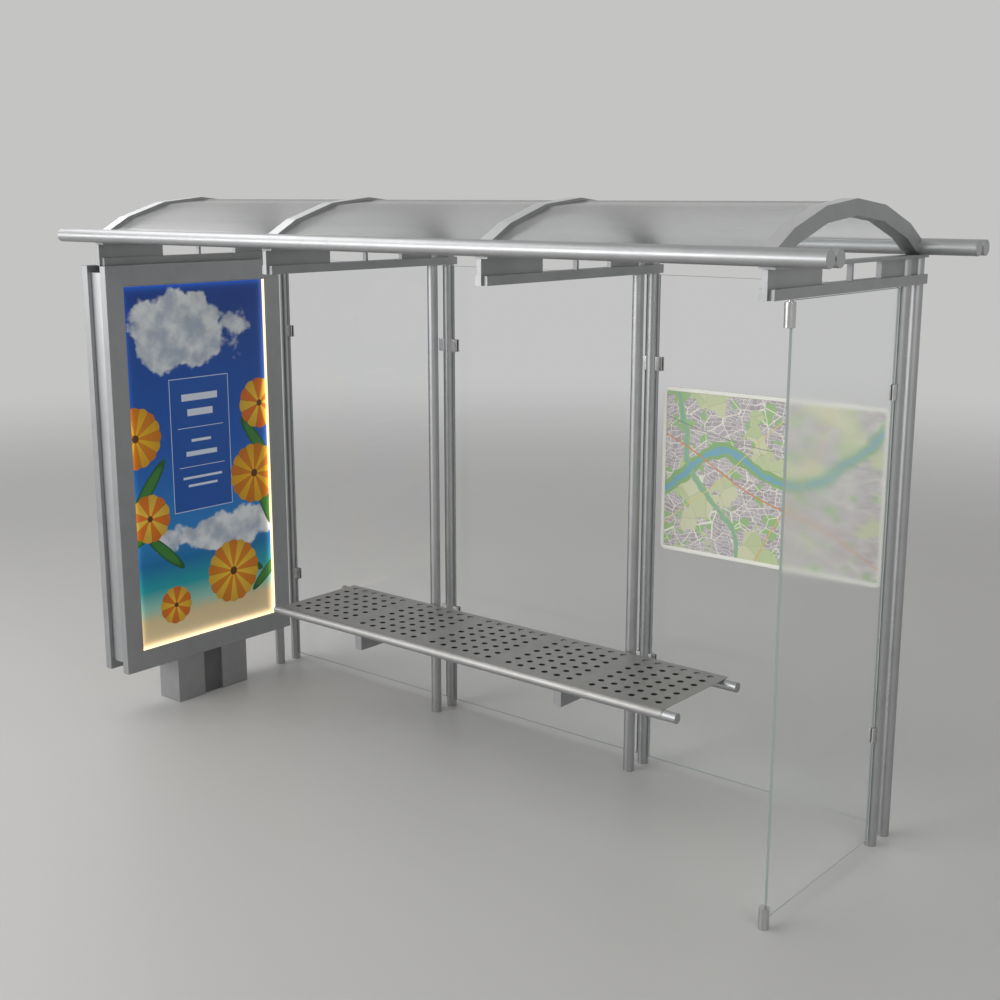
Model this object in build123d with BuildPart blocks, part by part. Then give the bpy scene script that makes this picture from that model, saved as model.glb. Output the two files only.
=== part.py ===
from build123d import *
import math
import os

os.makedirs("parts", exist_ok=True)

# A bus shelter in millimetres: X along the shelter, Y from the kerb side to the back, Z up

# Fits used everywhere
seat_gap = 0.3

# Frames and posts, and the ribs of the roof, which stands centred and lines up with the last frame
bay_pitch = 1150.0
roof_pitch = 1135.0
frame_names = "abcd"
frame_count = len(frame_names)
last_frame_x = roof_pitch * (frame_count - 1) / 2
frames_back = range(frame_count - 1, -1, -1)
frame_positions = [last_frame_x - bay_pitch * steps for steps in frames_back]
rib_positions = [last_frame_x - roof_pitch * steps for steps in frames_back]
frames_centre_x = (frame_positions[0] + frame_positions[-1]) / 2
post_dia = 48.3
post_radius = post_dia / 2
post_pitch = 114.0
front_post_y = 462.0
rear_post_y = front_post_y + post_pitch

# Cantilever beams
beam_bottom_z = 2182.0
beam_height = 95.0
beam_width = 57.5
web_thickness = 20.0
bar_height = 35.0
plate_thickness = 11.2
web_front_y = -552.0
bar_front_y = -540.0
beam_rear_y = 604.0
window_front_y = -194.0
window_rear_y = 249.0
mullion_y = 27.0
mullion_width = 12.0
plate_bottom_z = beam_bottom_z + beam_height
beam_top_z = plate_bottom_z + plate_thickness
window_bottom_z = beam_bottom_z + bar_height
window_height = plate_bottom_z - window_bottom_z

# Eaves tubes
eaves_tube_dia = 57.0
eaves_tube_radius = eaves_tube_dia / 2
eaves_inner_y = 534.0
eaves_outer_y = 601.0
eaves_overhang = 241.0
eaves_z = beam_top_z + seat_gap + eaves_tube_radius
eaves_length = roof_pitch * (frame_count - 1) + 2 * eaves_overhang

# Roof arch of straight facets
arch_radius = 1079.0
facets_each_side = 3
rib_tip_reach = 19.4
rib_over_tube = 22.0
rib_depth = 56.0
rib_width = beam_width
rib_foot_z = 2300.0
sheet_setback = 10.0
sheet_thickness = 6.0

# Glass and the clamps that hold it
glass_thickness = 10.0
glass_edge_offset = 32.0
glass_bottom_z = 36.0
glass_top_z = 2175.0
clamp_reach = 55.0
clamp_depth = 24.0
clamp_height = 59.0
clamp_low_z = 490.0
clamp_high_z = 1803.0

# Side glass with its two front fittings
side_glass_front_y = -372.0
side_clamp_low_z = 470.0
side_clamp_high_z = 1797.0
fitting_dia = 38.0
fitting_setback = 10.0
foot_height = 80.0
foot_seat_z = 32.0
top_fitting_height = 82.0
top_pin_length = 12.0
top_pin_dia = 16.0
top_fitting_top_z = beam_bottom_z - top_pin_length
top_fitting_bottom_z = top_fitting_top_z - top_fitting_height

# Map case on the back glass
map_side_margin = 39.0
map_height = 703.0
map_bottom_z = 1010.0
map_depth = 8.7
map_corner = 25.0
map_rim = 17.0
map_back = 4.0
map_sheet_thickness = 2.0

# Poster display at the end of the shelter
rim_thickness = 40.0
display_depth = 178.0
display_front_y = -582.0
display_rear_y = 462.0
display_bottom_z = 229.0
display_top_z = beam_bottom_z
display_border = 95.0
poster_recess = 24.0
light_strip_thickness = 3.0
light_strip_depth = 20.0
body_edge_recess = 22.0
body_bulge = 14.0
body_bottom_z = 280.0
body_top_z = 2150.0
plinth_depth = 153.0
plinth_front_y = -278.0
plinth_rear_y = 162.0
plinth_leg = 164.0
plinth_panel_recess = 14.0

# Bench
bench_tube_length = 2292.0
bench_tube_dia = 42.4
bench_tube_radius = bench_tube_dia / 2
seat_left_inset = 43.0
seat_right_inset = 62.0
seat_length = bench_tube_length - seat_left_inset - seat_right_inset
seat_front_y = -78.0
seat_rear_y = 428.0
seat_top_z = 558.0
seat_sheet = 2.0
seat_rear_overhang = 30.5
seat_hole_dia = 28.0
seat_hole_sides = 7
hole_pitch = 64.5
holes_along = 6
holes_across = 7
hole_groups = 5
hole_group_pitch = 437.0
hole_front_margin = 74.5
bracket_width = 39.0
bracket_height = 67.0
bracket_front_y = -68.0
bracket_bottom_z = 452.0
saddle_width = 47.0
saddle_thickness = 3.0
saddle_rear_y = -22.0

wrap_radius = bench_tube_radius + seat_gap + seat_sheet
bench_tube_z = seat_top_z - wrap_radius
bench_front_tube_y = seat_front_y + wrap_radius
bench_rear_tube_y = seat_rear_y - seat_rear_overhang
bench_start_x = frames_centre_x - bench_tube_length / 2

# The arch's facets end beyond the outer tubes and its outer flats pass over the inner tubes
arch_half_angle = math.asin((eaves_outer_y + rib_tip_reach) / arch_radius)
facet_angle = arch_half_angle / facets_each_side
last_flat_angle = arch_half_angle - facet_angle / 2
flat_distance = arch_radius * math.cos(facet_angle / 2) - rib_over_tube
arch_rise = (flat_distance - eaves_inner_y * math.sin(last_flat_angle)) / math.cos(last_flat_angle)
arch_centre_z = eaves_z - arch_rise


# Corners of the faceted arch at one radius, front to back
def arch_points(radius):
    points = []
    for step in range(-facets_each_side, facets_each_side + 1):
        angle = step * facet_angle
        points.append((radius * math.sin(angle), arch_centre_z + radius * math.cos(angle)))
    return points


# Radius of the corners of an arch whose flats lie inside the outer flats by a depth
def inner_radius(depth):
    return arch_radius - depth / math.cos(facet_angle / 2)


# Front and rear posts of every frame, from the floor to the underside of the beam's top plate
for name, frame_x in zip(frame_names, frame_positions):
    with BuildPart() as front_post:
        with BuildSketch(Plane.XY):
            with Locations((frame_x, front_post_y)):
                Circle(post_radius)
        extrude(amount=plate_bottom_z)
    front_post.part.label = "front_post_" + name
    export_step(front_post.part, "parts/front_post_" + name + ".step")

    with BuildPart() as rear_post:
        with BuildSketch(Plane.XY):
            with Locations((frame_x, rear_post_y)):
                Circle(post_radius)
        extrude(amount=plate_bottom_z)
    rear_post.part.label = "rear_post_" + name
    export_step(rear_post.part, "parts/rear_post_" + name + ".step")

# Cantilever beams: a web with two windows, a side bar each side and a top plate over the posts
beam_bar_centre_y = (bar_front_y + beam_rear_y) / 2
beam_bar_length = beam_rear_y - bar_front_y
window_centre_z = window_bottom_z + window_height / 2
window_rows = [
    (window_front_y, mullion_y - mullion_width / 2),
    (mullion_y + mullion_width / 2, window_rear_y),
]
for name, frame_x in zip(frame_names, frame_positions):
    with BuildPart() as cantilever_beam:
        with BuildSketch(Plane.XY.offset(beam_bottom_z)):
            with Locations((frame_x, (web_front_y + beam_rear_y) / 2)):
                Rectangle(web_thickness, beam_rear_y - web_front_y)
        extrude(amount=beam_height)
        with BuildSketch(Plane.XY.offset(beam_bottom_z)):
            with Locations((frame_x, beam_bar_centre_y)):
                Rectangle(beam_width, beam_bar_length)
        extrude(amount=bar_height)
        with BuildSketch(Plane.XY.offset(plate_bottom_z)):
            with Locations((frame_x, beam_bar_centre_y)):
                Rectangle(beam_width, beam_bar_length)
        extrude(amount=plate_thickness)
        with BuildSketch(Plane.YZ.offset(frame_x - web_thickness / 2)):
            for start_y, end_y in window_rows:
                with Locations(((start_y + end_y) / 2, window_centre_z)):
                    Rectangle(end_y - start_y, window_height)
        extrude(amount=web_thickness, mode=Mode.SUBTRACT)
        with BuildSketch(Plane.XY.offset(beam_bottom_z)):
            with Locations((frame_x, front_post_y), (frame_x, rear_post_y)):
                Circle(post_radius + seat_gap)
        extrude(amount=beam_height, mode=Mode.SUBTRACT)
    cantilever_beam.part.label = "cantilever_beam_" + name
    export_step(cantilever_beam.part, "parts/cantilever_beam_" + name + ".step")

# Four eaves tubes, one pair along the front and one along the back
eaves_rows = [
    ("front_eaves_tube_outer", -eaves_outer_y),
    ("front_eaves_tube_inner", -eaves_inner_y),
    ("rear_eaves_tube_inner", eaves_inner_y),
    ("rear_eaves_tube_outer", eaves_outer_y),
]
for name, tube_y in eaves_rows:
    with BuildPart() as eaves_tube:
        with BuildSketch(Plane.YZ.offset(-eaves_length / 2)):
            with Locations((tube_y, eaves_z)):
                Circle(eaves_tube_radius)
        extrude(amount=eaves_length)
    eaves_tube.part.label = name
    export_step(eaves_tube.part, "parts/" + name + ".step")

# Roof ribs: a faceted arch whose feet are coped round both tubes of a pair
rib_outline = arch_points(arch_radius) + arch_points(inner_radius(rib_depth))[::-1]
tube_centres = [(tube_y, eaves_z) for label, tube_y in eaves_rows]
foot_cut_depth = rib_foot_z - arch_centre_z
for name, rib_x in zip(frame_names, rib_positions):
    with BuildPart() as roof_rib:
        with BuildSketch(Plane.YZ.offset(rib_x - rib_width / 2)):
            Polygon(*rib_outline, align=None)
            with Locations((0, rib_foot_z - foot_cut_depth / 2)):
                Rectangle(2 * arch_radius, foot_cut_depth, mode=Mode.SUBTRACT)
            with Locations(*tube_centres):
                Circle(eaves_tube_radius + seat_gap, mode=Mode.SUBTRACT)
        extrude(amount=rib_width)
    roof_rib.part.label = "roof_rib_" + name
    export_step(roof_rib.part, "parts/roof_rib_" + name + ".step")

# Roof sheets between the ribs, from inner tube to inner tube
sheet_outline = arch_points(inner_radius(sheet_setback))
sheet_outline += arch_points(inner_radius(sheet_setback + sheet_thickness))[::-1]
sheet_end_width = arch_radius - eaves_inner_y
bay_names = ["left", "middle", "right"]
sheet_length = roof_pitch - rib_width
for name, rib_x in zip(bay_names, rib_positions[:-1]):
    with BuildPart() as roof_sheet:
        with BuildSketch(Plane.YZ.offset(rib_x + rib_width / 2)):
            Polygon(*sheet_outline, align=None)
            for side in (-1, 1):
                with Locations((side * (eaves_inner_y + sheet_end_width / 2), eaves_z)):
                    Rectangle(sheet_end_width, arch_radius, mode=Mode.SUBTRACT)
            with Locations(*tube_centres):
                Circle(eaves_tube_radius + seat_gap, mode=Mode.SUBTRACT)
        extrude(amount=sheet_length)
    roof_sheet.part.label = "roof_sheet_" + name
    export_step(roof_sheet.part, "parts/roof_sheet_" + name + ".step")

# Back glass, one pane a bay in the plane of the rear posts
pane_width = bay_pitch - 2 * glass_edge_offset
bay_centres = [frame_x + bay_pitch / 2 for frame_x in frame_positions[:-1]]
for name, bay_x in zip(bay_names, bay_centres):
    with BuildPart() as back_glass:
        with BuildSketch(Plane.XY.offset(glass_bottom_z)):
            with Locations((bay_x, rear_post_y)):
                Rectangle(pane_width, glass_thickness)
        extrude(amount=glass_top_z - glass_bottom_z)
    back_glass.part.label = "back_glass_" + name
    export_step(back_glass.part, "parts/back_glass_" + name + ".step")

# Clamps from the rear posts, each block slotted over the edge of a pane
slot_width = glass_thickness + 2 * seat_gap
slot_start = glass_edge_offset - seat_gap
slot_depth = clamp_reach - slot_start
clamp_sides = [(1,), (-1, 1), (-1, 1), (-1,)]
with BuildPart() as glass_clamps:
    for level in (clamp_low_z, clamp_high_z):
        with BuildSketch(Plane.XY.offset(level - clamp_height / 2)):
            for frame_x, sides in zip(frame_positions, clamp_sides):
                for side in sides:
                    with Locations((frame_x + side * clamp_reach / 2, rear_post_y)):
                        Rectangle(clamp_reach, clamp_depth)
                    with Locations((frame_x + side * (slot_start + slot_depth / 2), rear_post_y)):
                        Rectangle(slot_depth, slot_width, mode=Mode.SUBTRACT)
                with Locations((frame_x, rear_post_y)):
                    Circle(post_radius + seat_gap, mode=Mode.SUBTRACT)
        extrude(amount=clamp_height)
glass_clamps.part.label = "glass_clamps"
export_step(glass_clamps.part, "parts/glass_clamps.step")

# Side glass at the last frame, clamped to the front post behind it
side_glass_x = frame_positions[-1]
side_glass_rear_y = front_post_y - glass_edge_offset
side_glass_bottom_z = foot_seat_z
with BuildPart() as side_glass:
    with BuildSketch(Plane.XY.offset(side_glass_bottom_z)):
        with Locations((side_glass_x, (side_glass_front_y + side_glass_rear_y) / 2)):
            Rectangle(glass_thickness, side_glass_rear_y - side_glass_front_y)
    extrude(amount=glass_top_z - side_glass_bottom_z)
side_glass.part.label = "side_glass"
export_step(side_glass.part, "parts/side_glass.step")

# Fittings of the side glass: two clamps on the post, and a slotted round foot and top fitting
fitting_y = side_glass_front_y - fitting_setback
fitting_slot_y = side_glass_front_y - seat_gap + fitting_dia / 2
with BuildPart() as side_glass_fittings:
    for level in (side_clamp_low_z, side_clamp_high_z):
        with BuildSketch(Plane.XY.offset(level - clamp_height / 2)):
            with Locations((side_glass_x, front_post_y - clamp_reach / 2)):
                Rectangle(clamp_depth, clamp_reach)
            with Locations((side_glass_x, front_post_y - slot_start - slot_depth / 2)):
                Rectangle(slot_width, slot_depth, mode=Mode.SUBTRACT)
            with Locations((side_glass_x, front_post_y)):
                Circle(post_radius + seat_gap, mode=Mode.SUBTRACT)
        extrude(amount=clamp_height)
    with BuildSketch(Plane.XY):
        with Locations((side_glass_x, fitting_y)):
            Circle(fitting_dia / 2)
    extrude(amount=foot_height)
    with BuildSketch(Plane.XY.offset(foot_seat_z)):
        with Locations((side_glass_x, fitting_slot_y)):
            Rectangle(slot_width, fitting_dia)
    extrude(amount=foot_height - foot_seat_z, mode=Mode.SUBTRACT)
    with BuildSketch(Plane.XY.offset(top_fitting_bottom_z)):
        with Locations((side_glass_x, fitting_y)):
            Circle(fitting_dia / 2)
    extrude(amount=top_fitting_height)
    with BuildSketch(Plane.XY.offset(top_fitting_bottom_z)):
        with Locations((side_glass_x, fitting_slot_y)):
            Rectangle(slot_width, fitting_dia)
    extrude(amount=top_fitting_height, mode=Mode.SUBTRACT)
    with BuildSketch(Plane.XY.offset(top_fitting_top_z)):
        with Locations((side_glass_x, fitting_y)):
            Circle(top_pin_dia / 2)
    extrude(amount=top_pin_length)
side_glass_fittings.part.label = "side_glass_fittings"
export_step(side_glass_fittings.part, "parts/side_glass_fittings.step")

# Map case on the front of the right-hand pane, with its sheet inside the raised rim
map_back_y = rear_post_y - glass_thickness / 2
map_centre_x = bay_centres[-1]
map_centre_z = map_bottom_z + map_height / 2
map_width = pane_width - 2 * map_side_margin
with BuildPart() as map_case:
    with BuildSketch(Plane.XZ.offset(-map_back_y)):
        with Locations((map_centre_x, map_centre_z)):
            RectangleRounded(map_width, map_height, map_corner)
    extrude(amount=map_depth)
    with BuildSketch(Plane.XZ.offset(map_back - map_back_y)):
        with Locations((map_centre_x, map_centre_z)):
            Rectangle(map_width - 2 * map_rim, map_height - 2 * map_rim)
    extrude(amount=map_depth - map_back, mode=Mode.SUBTRACT)
map_case.part.label = "map_case"
export_step(map_case.part, "parts/map_case.step")

map_sheet_width = map_width - 2 * (map_rim + seat_gap)
map_sheet_height = map_height - 2 * (map_rim + seat_gap)
with BuildPart() as map_sheet:
    with BuildSketch(Plane.XZ.offset(map_back - map_back_y)):
        with Locations((map_centre_x, map_centre_z)):
            Rectangle(map_sheet_width, map_sheet_height)
    extrude(amount=map_sheet_thickness)
map_sheet.part.label = "map_sheet"
export_step(map_sheet.part, "parts/map_sheet.step")

# Display frames: one deep rim on each face with the poster opening cut through
display_x = frame_positions[0]
display_width = display_rear_y - display_front_y
display_height = display_top_z - display_bottom_z
display_centre_y = (display_front_y + display_rear_y) / 2
display_centre_z = (display_bottom_z + display_top_z) / 2
opening_width = display_width - 2 * display_border
opening_height = display_height - 2 * display_border
body_thickness = display_depth - 2 * rim_thickness
frame_rows = [
    ("display_frame_outer", display_x - display_depth / 2),
    ("display_frame_inner", display_x + body_thickness / 2),
]
for name, start_x in frame_rows:
    with BuildPart() as display_frame:
        with BuildSketch(Plane.YZ.offset(start_x)):
            with Locations((display_centre_y, display_centre_z)):
                Rectangle(display_width, display_height)
                Rectangle(opening_width, opening_height, mode=Mode.SUBTRACT)
        extrude(amount=rim_thickness)
    display_frame.part.label = name
    export_step(display_frame.part, "parts/" + name + ".step")

# Display body between the rims, its street end rounded outwards
body_left_x = display_x - body_thickness / 2
body_right_x = display_x + body_thickness / 2
body_front_y = display_front_y + body_edge_recess
body_rear_y = front_post_y - post_radius - seat_gap
with BuildPart() as display_body:
    with BuildSketch(Plane.XY.offset(body_bottom_z)):
        with BuildLine():
            ThreePointArc(
                (body_left_x, body_front_y),
                (display_x, body_front_y - body_bulge),
                (body_right_x, body_front_y),
            )
            Line((body_right_x, body_front_y), (body_right_x, body_rear_y))
            Line((body_right_x, body_rear_y), (body_left_x, body_rear_y))
            Line((body_left_x, body_rear_y), (body_left_x, body_front_y))
        make_face()
    extrude(amount=body_top_z - body_bottom_z)
display_body.part.label = "display_body"
export_step(display_body.part, "parts/display_body.step")

# Lit poster panels set back in the two openings
poster_thickness = rim_thickness - poster_recess
poster_rows = [("poster_outer", body_left_x - poster_thickness), ("poster_inner", body_right_x)]
for name, start_x in poster_rows:
    with BuildPart() as poster:
        with BuildSketch(Plane.YZ.offset(start_x)):
            with Locations((display_centre_y, display_centre_z)):
                Rectangle(opening_width - 2 * seat_gap, opening_height - 2 * seat_gap)
        extrude(amount=poster_thickness)
    poster.part.label = name
    export_step(poster.part, "parts/" + name + ".step")

# Light strips that line the reveal round each poster
light_rows = [
    ("poster_light_outer", body_left_x - poster_thickness - light_strip_depth),
    ("poster_light_inner", body_right_x + poster_thickness),
]
strip_outer_width = opening_width - 2 * seat_gap
strip_outer_height = opening_height - 2 * seat_gap
strip_inner_width = strip_outer_width - 2 * light_strip_thickness
strip_inner_height = strip_outer_height - 2 * light_strip_thickness
for name, start_x in light_rows:
    with BuildPart() as poster_light:
        with BuildSketch(Plane.YZ.offset(start_x)):
            with Locations((display_centre_y, display_centre_z)):
                Rectangle(strip_outer_width, strip_outer_height)
                Rectangle(strip_inner_width, strip_inner_height, mode=Mode.SUBTRACT)
        extrude(amount=light_strip_depth)
    poster_light.part.label = name
    export_step(poster_light.part, "parts/" + name + ".step")

# Plinth: two legs joined by a panel that is set back on both faces
plinth_length = plinth_rear_y - plinth_front_y
leg_offset = (plinth_length - plinth_leg) / 2
plinth_centre_y = (plinth_front_y + plinth_rear_y) / 2
with BuildPart() as display_plinth:
    with BuildSketch(Plane.XY):
        with Locations(
            (display_x, plinth_centre_y - leg_offset),
            (display_x, plinth_centre_y + leg_offset),
        ):
            Rectangle(plinth_depth, plinth_leg)
        with Locations((display_x, plinth_centre_y)):
            Rectangle(plinth_depth - 2 * plinth_panel_recess, plinth_length - plinth_leg)
    extrude(amount=display_bottom_z)
display_plinth.part.label = "display_plinth"
export_step(display_plinth.part, "parts/display_plinth.step")

# Bench tubes
bench_tube_rows = [
    ("bench_front_tube", bench_front_tube_y),
    ("bench_rear_tube", bench_rear_tube_y),
]
for name, tube_y in bench_tube_rows:
    with BuildPart() as bench_tube:
        with BuildSketch(Plane.YZ.offset(bench_start_x)):
            with Locations((tube_y, bench_tube_z)):
                Circle(bench_tube_radius)
        extrude(amount=bench_tube_length)
    bench_tube.part.label = name
    export_step(bench_tube.part, "parts/" + name + ".step")

# Bench seat: a thin sheet rolled over the front tube and laid flat on the rear one, with drain holes
sheet_underside_z = seat_top_z - seat_sheet
seat_flat_depth = seat_rear_y - bench_front_tube_y
seat_start_x = bench_start_x + seat_left_inset
first_group_x = seat_start_x + seat_length / 2 - hole_group_pitch * (hole_groups - 1) / 2
hole_group_positions = [first_group_x + index * hole_group_pitch for index in range(hole_groups)]
hole_rows_centre_y = seat_front_y + hole_front_margin + hole_pitch * (holes_across - 1) / 2
with BuildPart() as bench_seat:
    with BuildSketch(Plane.YZ.offset(seat_start_x)):
        with Locations((bench_front_tube_y, bench_tube_z)):
            Circle(wrap_radius)
            Circle(wrap_radius - seat_sheet, mode=Mode.SUBTRACT)
        with Locations((bench_front_tube_y, bench_tube_z - wrap_radius / 2)):
            Rectangle(2 * wrap_radius, wrap_radius, mode=Mode.SUBTRACT)
        with Locations((bench_front_tube_y + wrap_radius / 2, bench_tube_z + wrap_radius / 2)):
            Rectangle(wrap_radius, wrap_radius, mode=Mode.SUBTRACT)
        with Locations((bench_front_tube_y + seat_flat_depth / 2, seat_top_z - seat_sheet / 2)):
            Rectangle(seat_flat_depth, seat_sheet)
    extrude(amount=seat_length)
    with BuildSketch(Plane.XY.offset(sheet_underside_z)):
        for group_x in hole_group_positions:
            with Locations((group_x, hole_rows_centre_y)):
                with GridLocations(hole_pitch, hole_pitch, holes_along, holes_across):
                    RegularPolygon(seat_hole_dia / 2, seat_hole_sides)
    extrude(amount=seat_sheet, mode=Mode.SUBTRACT)
bench_seat.part.label = "bench_seat"
export_step(bench_seat.part, "parts/bench_seat.step")

# Bench brackets: bars from the two middle front posts, with a saddle under the front tube
bracket_length = front_post_y - bracket_front_y
bracket_top_z = bracket_bottom_z + bracket_height
saddle_length = saddle_rear_y - bracket_front_y
middle_frames = frame_positions[1:-1]
with BuildPart() as bench_brackets:
    with BuildSketch(Plane.XY.offset(bracket_bottom_z)):
        for frame_x in middle_frames:
            with Locations((frame_x, front_post_y - bracket_length / 2)):
                Rectangle(bracket_width, bracket_length)
            with Locations((frame_x, front_post_y)):
                Circle(post_radius + seat_gap, mode=Mode.SUBTRACT)
    extrude(amount=bracket_height)
    with BuildSketch(Plane.XY.offset(bracket_top_z)):
        for frame_x in middle_frames:
            with Locations((frame_x, bracket_front_y + saddle_length / 2)):
                Rectangle(saddle_width, saddle_length)
    extrude(amount=saddle_thickness)
    with BuildSketch(Plane.YZ.offset(seat_start_x)):
        for tube_y in (bench_front_tube_y, bench_rear_tube_y):
            with Locations((tube_y, bench_tube_z)):
                Circle(bench_tube_radius + seat_gap)
    extrude(amount=seat_length, mode=Mode.SUBTRACT)
bench_brackets.part.label = "bench_brackets"
export_step(bench_brackets.part, "parts/bench_brackets.step")
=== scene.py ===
import math

import bpy
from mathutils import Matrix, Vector


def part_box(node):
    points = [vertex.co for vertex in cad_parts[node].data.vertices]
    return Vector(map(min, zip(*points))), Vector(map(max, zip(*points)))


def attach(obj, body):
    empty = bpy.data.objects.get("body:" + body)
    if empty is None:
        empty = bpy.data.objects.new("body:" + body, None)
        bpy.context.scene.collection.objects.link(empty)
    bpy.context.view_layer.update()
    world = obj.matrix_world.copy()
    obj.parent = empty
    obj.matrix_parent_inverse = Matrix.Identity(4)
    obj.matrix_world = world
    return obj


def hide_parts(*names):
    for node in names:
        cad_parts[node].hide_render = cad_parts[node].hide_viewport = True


bl_info = {
    "name": "Bus Shelter",
    "version": (1, 0, 0),
    "blender": (4, 5, 0),
    "location": "View3D > Sidebar > Shelter",
    "description": "Dresses the three-bay bus shelter: steelwork, glass, bench, map and poster display",
    "category": "Object",
}

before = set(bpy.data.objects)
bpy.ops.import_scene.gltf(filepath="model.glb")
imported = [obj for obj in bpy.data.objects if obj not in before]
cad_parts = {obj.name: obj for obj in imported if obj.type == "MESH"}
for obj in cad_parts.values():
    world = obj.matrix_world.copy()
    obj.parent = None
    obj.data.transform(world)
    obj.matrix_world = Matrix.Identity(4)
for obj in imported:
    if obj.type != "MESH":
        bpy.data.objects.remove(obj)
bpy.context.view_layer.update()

MM = 0.001
CAD_FIT = 0.3 * MM
WELD = 0.01 * MM
FRAME_NAMES = "abcd"
BAY_NAMES = ("left", "middle", "right")
EAVES_TUBES = (
    "front_eaves_tube_outer", "front_eaves_tube_inner", "rear_eaves_tube_inner", "rear_eaves_tube_outer")
TUBE_SIDES = 64
ROOF_FLATS = 6
RIB_TIP_REACH = 19.4 * MM
BEAM_BAR_SETBACK = 12 * MM
BEAM_WINDOWS = ((-194 * MM, 21 * MM), (33 * MM, 249 * MM))
CLAMP_LEVELS = (490 * MM, 1803 * MM)
SIDE_CLAMP_LEVELS = (470 * MM, 1797 * MM)
HALF_SLOT = 5.3 * MM


# A colour written as sRGB hex, turned to linear light
def linear(hex_colour):
    channels = []
    for start in (1, 3, 5):
        value = int(hex_colour[start:start + 2], 16) / 255
        channels.append(value / 12.92 if value <= 0.04045 else ((value + 0.055) / 1.055) ** 2.4)
    return (*channels, 1.0)


# ---------------------------------------------------------------- sizes and colours a user would change

def length_setting(name, description, millimetres):
    return bpy.props.FloatProperty(
        name=name, description=description, default=millimetres * MM, unit="LENGTH")


def colour_setting(name, description, hex_colour):
    return bpy.props.FloatVectorProperty(
        name=name, description=description, default=linear(hex_colour)[:3], subtype="COLOR", min=0, max=1)


class SteelworkSettings(bpy.types.PropertyGroup):
    post_diameter: length_setting("Post diameter", "Outside diameter of the posts", 48.3)
    eaves_diameter: length_setting("Eaves tube diameter", "Outside diameter of the eaves tubes", 57)
    web_thickness: length_setting("Beam web", "Thickness of the web of a cantilever beam", 20)
    bar_height: length_setting("Beam bar height", "Height of the bars along the foot of a beam", 35)
    plate_thickness: length_setting("Beam top plate", "Thickness of the plate on top of a beam", 11.2)
    arch_radius: length_setting("Roof radius", "Radius of the corners of the faceted roof arch", 1079)
    rib_depth: length_setting("Rib depth", "Depth of a roof rib between its outer and inner flats", 56)
    tube_colour: colour_setting("Tube colour", "Colour of the satin steel tubes and posts", "#B2B3B4")
    plate_colour: colour_setting("Plate colour", "Colour of the beams, ribs and brackets", "#A6A7A8")


class GlazingSettings(bpy.types.PropertyGroup):
    sheet_thickness: length_setting("Roof sheet", "Thickness of the clear roof sheets", 6)
    sheet_setback: length_setting("Roof sheet setback", "How far the sheets lie below the ribs' flats", 10)
    glass_tint: colour_setting("Glass tint", "Colour of the clear glass", "#FDFEFE")
    frosting: bpy.props.FloatProperty(
        name="Side glass frosting", description="Roughness of the etched side glass",
        default=0.12, min=0, max=1, subtype="FACTOR")


class BenchSettings(bpy.types.PropertyGroup):
    tube_diameter: length_setting("Bench tube diameter", "Outside diameter of the bench tubes", 42.4)
    sheet_thickness: length_setting("Seat sheet", "Thickness of the seat sheet", 2)
    hole_diameter: length_setting("Drain hole diameter", "Diameter of the drain holes in the seat", 28)
    seat_colour: colour_setting("Seat colour", "Colour of the seat sheet", "#A8A7A5")


class PanelSettings(bpy.types.PropertyGroup):
    display_border: length_setting("Display border", "Width of the border round the poster", 95)
    map_rim: length_setting("Map rim", "Width of the raised rim of the map case", 17)
    light_strength: bpy.props.FloatProperty(
        name="Poster light", description="Strength of the light strips round the posters", default=1.1, min=0)
    map_case_colour: colour_setting("Map case colour", "Colour of the map case", "#EFEEE6")


class StageSettings(bpy.types.PropertyGroup):
    floor_colour: colour_setting("Floor colour", "Colour of the studio floor", "#C6C5C3")
    backdrop_colour: colour_setting("Backdrop colour", "Colour of the studio backdrop", "#C4C4C3")
    room_light: bpy.props.FloatProperty(
        name="Room light", description="Strength of the even light of the studio", default=0.38, min=0)


# ---------------------------------------------------------------- modelling by hand

def activate(piece):
    bpy.ops.object.select_all(action="DESELECT")
    piece.select_set(True)
    bpy.context.view_layer.objects.active = piece


# Puts a piece's place, turn and size into its mesh
def settle(piece, name):
    activate(piece)
    bpy.ops.object.transform_apply(location=True, rotation=True, scale=True)
    piece.name = name
    piece.data.name = name
    return piece


def block(name, low, high):
    low = Vector(low)
    high = Vector(high)
    bpy.ops.object.select_all(action="DESELECT")
    bpy.ops.mesh.primitive_cube_add(size=1, location=(low + high) / 2, scale=high - low)
    return settle(bpy.context.active_object, name)


def rod(name, radius, start, end, sides=48):
    start = Vector(start)
    end = Vector(end)
    run = end - start
    bpy.ops.object.select_all(action="DESELECT")
    bpy.ops.mesh.primitive_cylinder_add(
        vertices=sides, radius=radius, depth=run.length, location=(start + end) / 2,
        rotation=run.to_track_quat("Z", "Y").to_euler())
    return settle(bpy.context.active_object, name)


def flat_plane(name, middle, size, rotation=(0, 0, 0)):
    bpy.ops.object.select_all(action="DESELECT")
    bpy.ops.mesh.primitive_plane_add(size=1, location=middle, rotation=rotation)
    plane = bpy.context.active_object
    plane.scale = (*size, 1)
    return settle(plane, name)


# Opens a piece in edit mode with all of it selected
def open_edit(piece):
    activate(piece)
    bpy.ops.object.mode_set(mode="EDIT")
    bpy.ops.mesh.select_all(action="SELECT")


def close_edit():
    bpy.ops.object.mode_set(mode="OBJECT")


def clear_picks(piece, kind):
    open_edit(piece)
    bpy.ops.mesh.select_mode(type=kind)
    bpy.ops.mesh.select_all(action="DESELECT")
    close_edit()


# Selects the faces that pass a test and leaves the piece in edit mode
def pick_faces(piece, test):
    clear_picks(piece, "FACE")
    for face in piece.data.polygons:
        face.select = test(face)
    bpy.ops.object.mode_set(mode="EDIT")


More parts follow.
